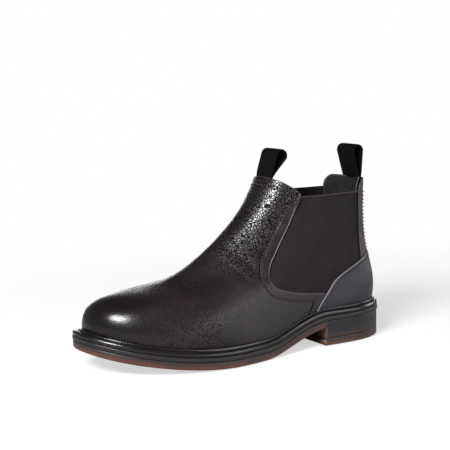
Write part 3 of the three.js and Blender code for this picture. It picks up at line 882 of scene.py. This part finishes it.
def stitches(name, starts, ends, normals, body, slot, material, radius=THREAD, bow=0.35):
    """One piece of many short threads, each bowed up between its two holes."""
    rings, sides = 7, 7
    t = np.linspace(0, 1, rings)
    around = np.linspace(0, 2 * math.pi, sides, endpoint=False)
    along = unit(ends - starts)
    across = unit(np.cross(normals, along))
    up = np.cross(along, across)
    centre = starts[:, None] + (ends - starts)[:, None] * t[:, None]
    centre = centre + up[:, None] * (bow * np.sin(math.pi * t) - 0.5 * radius)[:, None]
    size = radius * np.sin(math.pi * (0.12 + 0.76 * t)) ** 0.5
    ring = across[:, None, None] * np.cos(around)[:, None] + up[:, None, None] * np.sin(around)[:, None]
    points = (centre[:, :, None] + ring * size[:, None, None]).reshape(-1, 3)
    one = grid_faces(rings, sides, wrap=True)
    one += [list(range(sides))[::-1], list(range((rings - 1) * sides, rings * sides))]
    faces = [[i + k * rings * sides for i in face] for k in range(len(starts)) for face in one]
    return make_piece(name, points, faces, body, slot, material, [])


def seam(name, angle_h, depth, slot, material, skip):
    """A row of stitches along a line of the upper's surface, but for those that skip picks."""
    angle, h = resample_on_surface(angle_h, 0.5)
    surface = upper(angle, h, depth)
    run = distances(surface)
    first = np.arange(STITCH_PITCH, run[-1] - STITCH_PITCH, STITCH_PITCH)
    normals = unit(at_distances(first + STITCH / 2, run, outward(angle, h)))
    starts, ends = at_distances(first, run, surface), at_distances(first + STITCH, run, surface)
    kept = ~skip(starts)
    stitches(name, starts[kept], ends[kept], normals[kept], "boot", slot, material)


def resample_on_surface(angle_h, spacing):
    """Evens out the points of a line on the upper, smoothing the steps the lattice left."""
    kernel = np.ones(5) / 5
    padded = np.pad(angle_h, ((2, 2), (0, 0)), mode="edge")
    smooth = np.stack([np.convolve(column, kernel, "valid") for column in padded.T], axis=1)
    run = distances(girth(smooth[:, 0], smooth[:, 1]))
    return at_distances(np.linspace(0, run[-1], int(run[-1] / spacing)), run, smooth).T


def build_vamp_row():
    """The row along the collar and round both gores, ending under the heel cover."""
    edge = [through(part) for part in (COLLAR_EDGE, GORE_FRONT_EDGE, GORE_BOTTOM_EDGE)]
    field = side_field(front_outline(), np.vstack(edge + [(0, 43)]))
    line = contour(np.linspace(-2.3, 2.3, 300), np.linspace(0.08, 1, 150), field, ROW_INSET)
    cover = counter_outline(0)
    seam("Vamp_row", line, LEATHER[0] - 0.05, "pebbled_leather", ROW_THREAD,
         lambda points: signed_distance(cover, points[:, 1], points[:, 2]) > -1.5)


def build_cover_row():
    field = side_field(counter_outline(GAP))
    angles = math.pi + np.linspace(-1.6, 1.6, 260)
    line = contour(angles, np.linspace(0.05, 0.7, 150), field, COVER_ROW_INSET)
    seam("Heel_cover_row", line, COVER[0], "smooth_leather", DARK_THREAD,
         lambda points: points[:, 2] < sole_bottom(points[:, 1]) + SEAT + WELT_BEAD)


def angle_at_x(x, h):
    """Angle at which the row at height h passes x, near the heel."""
    angles = np.linspace(math.pi / 2 + 0.3, math.pi, 200)
    return np.array([np.interp(-x, -girth(angles, k)[:, 0], angles) for k in h])


def build_whip_rows():
    """Two rows of slanted stitches up the back strap, from the heel cover to the top of the gores."""
    h = np.linspace(0.42, 1, 200)
    row_z = girth(angle_at_x(WHIP_X, h), h)[:, 2]
    stops = np.arange(STRAP_FOOT_EDGE[1][1] + 3, GORE_TOP_Z - 1, WHIP_PITCH)

    def both_sides(points):
        return np.vstack([points, points * (-1, 1, 1)])

    def holes(shift, rise):
        levels = np.interp(stops + rise, row_z, h)
        return both_sides(upper(angle_at_x(WHIP_X + shift, levels), levels, LEATHER[0] - 0.15))

    levels = np.interp(stops, row_z, h)
    normals = both_sides(outward(angle_at_x(WHIP_X, levels), levels))
    bend_at_foot(stitches("Whip_rows", holes(-1.5, -0.9), holes(1.5, 0.9), normals, None,
                          "strap_leather", WHIP_THREAD, radius=0.58, bow=0.6))


# ---------------- sole

def section_loft(points):
    """Faces of a solid skinned over closed cross sections, with its two ends closed."""
    sections, size = points.shape[:2]
    faces = [list(reversed(face)) for face in grid_faces(sections, size, wrap=True)]
    faces += [list(range(size)), [(sections - 1) * size + i for i in reversed(range(size))]]
    return points.reshape(-1, 3), faces


def above_sole(y, height):
    return sole_bottom(y) + height


def sole_sections(outline, levels, angles, place):
    """Cross sections of a sole layer; levels are (inset, height), from the bottom up.

    place(y, height) is the z of a point.
    """
    def half(turned):
        sides = [(outline(turned, inset), height) for inset, height in levels]
        return np.stack([np.column_stack([p, place(p[:, 1], height)]) for p, height in sides], axis=1)

    right, left = half(angles), half(-angles)
    t = np.linspace(0, 1, 12)[1:-1][None, :, None]
    top = right[:, -1:] * (1 - t) + left[:, -1:] * t
    bottom = left[:, :1] * (1 - t) + right[:, :1] * t
    return np.concatenate([right, top, left[:, ::-1], bottom], axis=1)


def smooth_profile(pairs):
    return through(pairs, 3).tolist()


def angle_of(y):
    return math.acos(1 - 2 * (y - TOE_Y) / (BACK_Y - TOE_Y))


def build_sole_layer(name, slot, levels, angles, front=-np.inf, back=np.inf, place=above_sole):
    """A layer of the sole, flattened in front or at the back where it ends at the heel breast."""
    sections = sole_sections(sole_outline, levels, angles, place)
    sections[:, :, 1] = np.clip(sections[:, :, 1], front, back)
    points, faces = section_loft(sections)
    make_piece(name, points, faces, "boot", slot, level=points[:, 2] - place(points[:, 1], 0))


def build_midsole():
    top = SEAT - GAP
    levels = smooth_profile([(0.9, OUTSOLE), (0.25, OUTSOLE + 0.25), (0, OUTSOLE + 1), (0, OUTSOLE + 2.2),
                             (0, top - 1), (0.25, top - 0.3), (0.9, top)])
    build_sole_layer("Midsole", "midsole_rubber", levels, np.linspace(TIP, BACK, 240))


def build_outsole():
    top = OUTSOLE - GAP
    levels = smooth_profile([(2.6, 0), (1.3, 0.3), (0.6, 1.1), (0.35, 2.4), (0.35, 4.5),
                             (0.45, top - 0.5), (0.9, top)])
    end = BREAST_Y - GAP
    build_sole_layer("Outsole", "sole_rubber", levels, np.linspace(TIP, angle_of(end), 240), back=end)


def build_heel_block():
    """The heel between lift and midsole; levels that aren't positive are below the midsole."""
    levels = [(1.1, TOP_LIFT), (0.8, TOP_LIFT + 0.4), (0.8, TOP_LIFT + 2),
              (0.8, -1.2), (0.6, -0.4), (0.9, 0)]
    angles = np.linspace(angle_of(BREAST_Y), BACK, 150)

    def place(y, height):
        return height + (0 * y if height > 0 else sole_bottom(y) + OUTSOLE - GAP)

    build_sole_layer("Heel_block", "heel_rubber", levels, angles, front=BREAST_Y, place=place)


def build_top_lift():
    top = TOP_LIFT - GAP
    levels = smooth_profile([(2.2, 0), (1.3, 0.35), (0.9, 1.2), (0.8, 3), (0.8, top - 0.5), (1.1, top)])
    build_sole_layer("Heel_top_lift", "sole_rubber", levels, np.linspace(angle_of(BREAST_Y), BACK, 240),
                     front=BREAST_Y, place=lambda y, height: 0 * y + height)


def wall_outline(angles, height):
    """Outer face of the upper, with a little clearance, at a height above the sole's underside."""
    front_y = COUNTER_FRONT_EDGE[-1][0]
    covered = smoothstep(front_y - 8, front_y + 2, girth(angles, 0)[:, 1])
    reach = COVER[0] * covered - GAP / 2
    low, high = np.zeros_like(angles), np.full_like(angles, 0.4)
    for _ in range(20):
        middle = (low + high) / 2
        p = upper(angles, middle, reach)
        below = p[:, 2] < sole_bottom(p[:, 1]) + height
        low, high = np.where(below, middle, low), np.where(below, high, middle)
    return upper(angles, low, reach)[:, :2]


def welt_profile():
    """Share of the way from the sole's edge to the upper, and height, from the rim to the bead."""
    rim = SEAT + WELT_RIM
    bead = SEAT + WELT_BEAD
    return smooth_profile([
        (0.12, SEAT), (0.02, SEAT + 0.4), (0, SEAT + 1.2), (0.01, rim - 2.6), (0.06, rim - 1.5),
        (0.16, rim - 0.55), (0.3, rim), (0.44, rim - 0.3), (0.54, rim - 1.2), (0.62, rim - 1.4),
        (0.7, bead - 1.4), (0.78, bead - 0.3), (0.88, bead), (0.97, bead - 0.3), (1, bead - 1),
    ]) + [(1, SEAT + 2), (1, SEAT)]


def welt_point(angles, share, height):
    outer = sole_outline(angles, 0.3)
    wall = wall_outline(angles, height)
    p = outer + (wall - outer) * share
    return np.column_stack([p, sole_bottom(p[:, 1]) + height])


def build_welt():
    angles = np.linspace(0, 2 * math.pi, 400, endpoint=False)
    rings = np.stack([welt_point(angles, share, height) for share, height in welt_profile()], axis=1)
    count, size = rings.shape[:2]
    quads = grid_faces(count + 1, size, wrap=True)
    faces = [[i % (count * size) for i in reversed(quad)] for quad in quads]
    make_piece("Welt", rings.reshape(-1, 3), faces, "boot", "welt_rubber")


def build_welt_row():
    """Dark stitches lying in the groove of the welt."""
    angles = np.linspace(0, 2 * math.pi, 1500)
    line = welt_point(angles, WELT_GROOVE, SEAT + WELT_RIM - 1.2)
    run = distances(line)
    first = np.arange(0, run[-1] - WELT_PITCH, WELT_PITCH)
    starts, ends = at_distances(first, run, line), at_distances(first + WELT_STITCH, run, line)
    normals = np.tile([0.0, 0.0, 1.0], (len(first), 1))
    stitches("Welt_row", starts, ends, normals, "boot", "welt_rubber", DARK_THREAD, radius=0.5)


# ---------------- pull loops

def drop_line(height):
    """Middle line of a loop in side view, from its front leg over the top to its rear leg."""
    half = WEBBING / 2
    centre = height - LOOP_FOOT - LOOP_BULGE
    lean = math.degrees(math.asin((LOOP_BULGE - LOOP_FOOT) / centre))
    top = arc((0, centre), LOOP_BULGE - half, 180 + lean, -lean, 15)
    foot = (LOOP_FOOT - half, 0.3)
    return [(-foot[0], foot[1])] + top + [foot]


def collar_angles(x, centre_angle):
    """Angles at which the collar passes x, in front or behind."""
    near = centre_angle + np.linspace(-1, 1, 400)
    across = girth(near, 1)[:, 0]
    order = np.argsort(across)
    return np.interp(x, across[order], near[order])


def build_loop(name, height, tilt, centre_angle, front_depth, rear_depth, body, pull):
    """Webbing sewn in under the collar, up, over and down again.

    The two depths are those of its tails, between the collar and the lining.
    """
    columns = np.linspace(-1, 1, 97)
    x = columns * WEBBING_WIDTH / 2
    angles = collar_angles(x, centre_angle)
    slope = math.radians(tilt)
    along = np.array([0, math.cos(slope), math.sin(slope)])
    up = np.array([0, -math.sin(slope), math.cos(slope)])
    foot = upper(np.array([centre_angle]), 1, LOOP_DEPTH)[0] * (0, 1, 0)
    foot[2] = girth(centre_angle, 1)[0, 2] + LOOP_FOOT + 2 * GAP
    drop = [np.outer(x, (1, 0, 0)) + foot + out * along + rise * up for out, rise in drop_line(height)]
    front_tail = [upper(angles, h, front_depth) for h in TAIL_ROWS]
    rear_tail = [upper(angles, h, rear_depth) for h in reversed(TAIL_ROWS)]
    control = np.stack(front_tail + drop + rear_tail)
    middle = np.stack([through(line, LOOP_STEPS) for line in control.swapaxes(0, 1)], axis=1)

    count = len(middle)
    clear = np.minimum(np.arange(count), np.arange(count)[::-1]) / (len(TAIL_ROWS) * LOOP_STEPS)
    thickness = TAIL_THICKNESS + (WEBBING - TAIL_THICKNESS) * smoothstep(0.7, 1.3, clear)
    edge = np.sqrt(1 - np.abs(columns) ** 14)
    ribs = 0.05 * np.cos(2 * math.pi * x / WEBBING_RIB)
    half = (thickness[:, None] / 2 + ribs) * edge
    normal = unit(np.cross(np.gradient(middle, axis=1), np.gradient(middle, axis=0))) * half[:, :, None]
    rings = np.concatenate([middle + normal, (middle - normal)[:, -2:0:-1]], axis=1)
    points, faces = section_loft(rings)
    run = distances(middle[:, len(columns) // 2])
    piece = make_piece(
        name, points, faces, None, "webbing", nodes=[name.lower(), name.lower() + "_tails"],
        across=np.tile(np.r_[x, x[-2:0:-1]], count) + 50, along=np.repeat(run, rings.shape[1]))
    blend_between(piece)


# ---------------- inside the boot

def build_sock():
    """The sock liner, domed over the heel pad, with a rounded edge."""
    bottom = SEAT + FILLER + BOARD + GAP
    levels = smooth_profile([(6, bottom), (5.6, bottom + 0.4), (5.6, bottom + 1),
                             (6.1, bottom + SOCK_THICKNESS)])

    def place(y, height):
        return sole_bottom(y) + (HEEL_PAD + GAP) * smoothstep(SOCK_CLIMB_Y, HEEL_PAD_FRONT_Y, y) + height

    points, faces = section_loft(sole_sections(seat_outline, levels, np.linspace(TIP, BACK, 200), place))
    make_piece("Sock_liner", points, faces, "boot", "sock_leather", edge=np.full(len(points), 30.0))


HIDDEN_LOOKS = {
    "toe_puff": flecked("stiffener_sheet", "#6f5a43", "#9a7f60", 400, 0.8, 0.0002),
    "insole_board": flecked("leatherboard", "#6b4d33", "#8f6a48", 500, 0.8, 0.0002),
    "bottom_filler": flecked("cork", "#6d4a28", "#b58b57", 300, 0.9, 0.0004),
    "shank": flecked("spring_steel", "#6f7276", "#96999d", 200, 0.3, 0.00005, 1.0),
    "heel_pad": flecked("foam", "#b9b3a5", "#d2cdc0", 700, 0.9, 0.0003),
    "heel_nail": flecked("nail_steel", "#77797c", "#a5a6a8", 300, 0.35, 0.00005, 1.0),
}


def dress_hidden_nodes():
    """Materials for the pieces of the frame that stay as they are, out of sight inside the boot."""
    looks = dict(HIDDEN_LOOKS, counter_stiffener=HIDDEN_LOOKS["toe_puff"])
    for name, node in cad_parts.items():
        for key, look in looks.items():
            if name.startswith(key):
                node.data.materials.clear()
                node.data.materials.append(look)


# ---------------- the boot

panel("Vamp", front_outline(), 0, 2.25, (400, 170), LEATHER, 0.7, vamp_relief, "pebbled_leather")
panel("Vamp_lining", front_outline(), 0, 2.25, (160, 70), LINING, 0.5, soft_relief, "lining_leather")
panel("Heel_cover", counter_outline(GAP), math.pi, 1.5, (220, 110), COVER, 0.7,
      cover_relief, "smooth_leather", nodes=["counter_cover"])
panel("Heel_lining", counter_outline(2 * GAP), math.pi, 1.5, (130, 70), LINING, 0.5,
      soft_relief, "lining_leather")
bend_at_foot(panel("Back_strap", back_outline(2 * GAP), math.pi, 1, (130, 130), LEATHER, 0.7,
                   soft_relief, "strap_leather", None))
bend_at_foot(panel("Back_facing", back_outline(4 * GAP), math.pi, 1, (130, 130), LINING, 0.5,
                   facing_relief, "facing_leather", None))
build_gore("Gore_lateral", 1)
build_gore("Gore_medial", -1)
build_vamp_row()
build_cover_row()
build_whip_rows()

build_welt()
build_welt_row()
build_midsole()
build_outsole()
build_heel_block()
build_top_lift()

build_loop("Front_loop", FRONT_LOOP_HEIGHT, FRONT_LOOP_TILT, 0, *TAIL_DEPTHS, "boot", "front_pull")
build_loop("Rear_loop", REAR_LOOP_HEIGHT, REAR_LOOP_TILT, math.pi, *TAIL_DEPTHS[::-1],
           "rear_shaft", "rear_pull")
build_sock()
dress_hidden_nodes()


# ---------------- studio

def build_floor():
    """A white floor that melts into the white behind it, with a soft shadow near the boot."""
    mesh = bpy.data.meshes.new("Floor")
    size, drop = 30, -0.0005
    corners = [(-size, -size, drop), (size, -size, drop), (size, size, drop), (-size, size, drop)]
    mesh.from_pydata(corners, [], [(0, 1, 2, 3)])
    s = Shader("studio_floor")
    place = s.node("TexCoord").outputs["Object"]
    camera_ray = s.camera_ray()
    tone = s.mix(camera_ray, "#a8a8a8", s.mix(s.noise(place, 3), "#ececec", "#f6f6f6"))
    matt = s.node("BsdfDiffuse", {"Color": tone}).outputs[0]
    glow = s.node("Emission", {"Color": (1, 1, 1, 1), "Strength": 1.0}).outputs[0]
    distance = s.node("VectorMath", {0: place}, operation="LENGTH").outputs["Value"]
    share = s.times(s.ramp(distance, 0.15, 0.6, 0.6, 1.0), camera_ray)
    surface = s.node("MixShader", {0: share, 1: matt, 2: glow}).outputs[0]
    s.node("OutputMaterial", {"Surface": surface})
    mesh.materials.append(s.material)
    add_object("Floor", mesh)


def build_camera():
    turns = ((CAMERA_AZIMUTH, "Z"), (90 - CAMERA_ELEVATION, "X"), (-CAMERA_ROLL, "Z"))
    azimuth, tilt, roll = (Matrix.Rotation(math.radians(angle), 4, axis) for angle, axis in turns)
    data = bpy.data.cameras.new("Camera")
    data.lens = CAMERA_LENS
    data.sensor_width = 36
    data.clip_start, data.clip_end = 0.05, 50
    camera = add_object("Camera", data)
    target = Matrix.Translation(Vector(CAMERA_TARGET) * MM)
    away = Matrix.Translation((0, 0, CAMERA_DISTANCE * MM))
    camera.matrix_world = target @ azimuth @ tilt @ away @ roll
    bpy.context.scene.camera = camera


def area_light(name, place, size, power):
    """A light that shines at the middle of the boot."""
    data = bpy.data.lights.new(name, "AREA")
    data.shape = "ELLIPSE"
    data.size, data.size_y = size
    data.energy = power
    light = add_object(name, data)
    light.location = place
    light.rotation_euler = (LIT_PLACE - Vector(place)).to_track_quat("-Z", "Y").to_euler()
    light.visible_camera = False


def build_light():
    """Large soft lights, and a world that is white to the camera but dim as a light."""
    s = Shader("Studio", bpy.data.worlds)
    height = s.axes(s.node("TexCoord").outputs["Generated"])[2]
    inputs = {"Value": height, "From Max": 0.6, "To Min": WALL_LIGHT, "To Max": CEILING_LIGHT}
    strength = s.blend(s.camera_ray(), s.node("MapRange", inputs).outputs[0], 1.0)
    sky = s.node("Background", {"Color": (1, 1, 1, 1), "Strength": strength}).outputs[0]
    s.node("OutputWorld", {"Surface": sky})
    bpy.context.scene.world = s.material
    bpy.context.scene.view_settings.view_transform = "Standard"
    area_light("Key", (0.54, -1.0, 0.77), (0.66, 0.38), 33)
    area_light("Side", (1.4, 0.7, 0.25), (1.4, 0.7), 8)
    area_light("Rear", (0.2, 1.5, 0.5), (1.0, 0.6), 9)
    area_light("Backdrop", (-1.4, 0.7, 0.15), (1.6, 0.5), 7)


build_floor()
build_camera()
build_light()
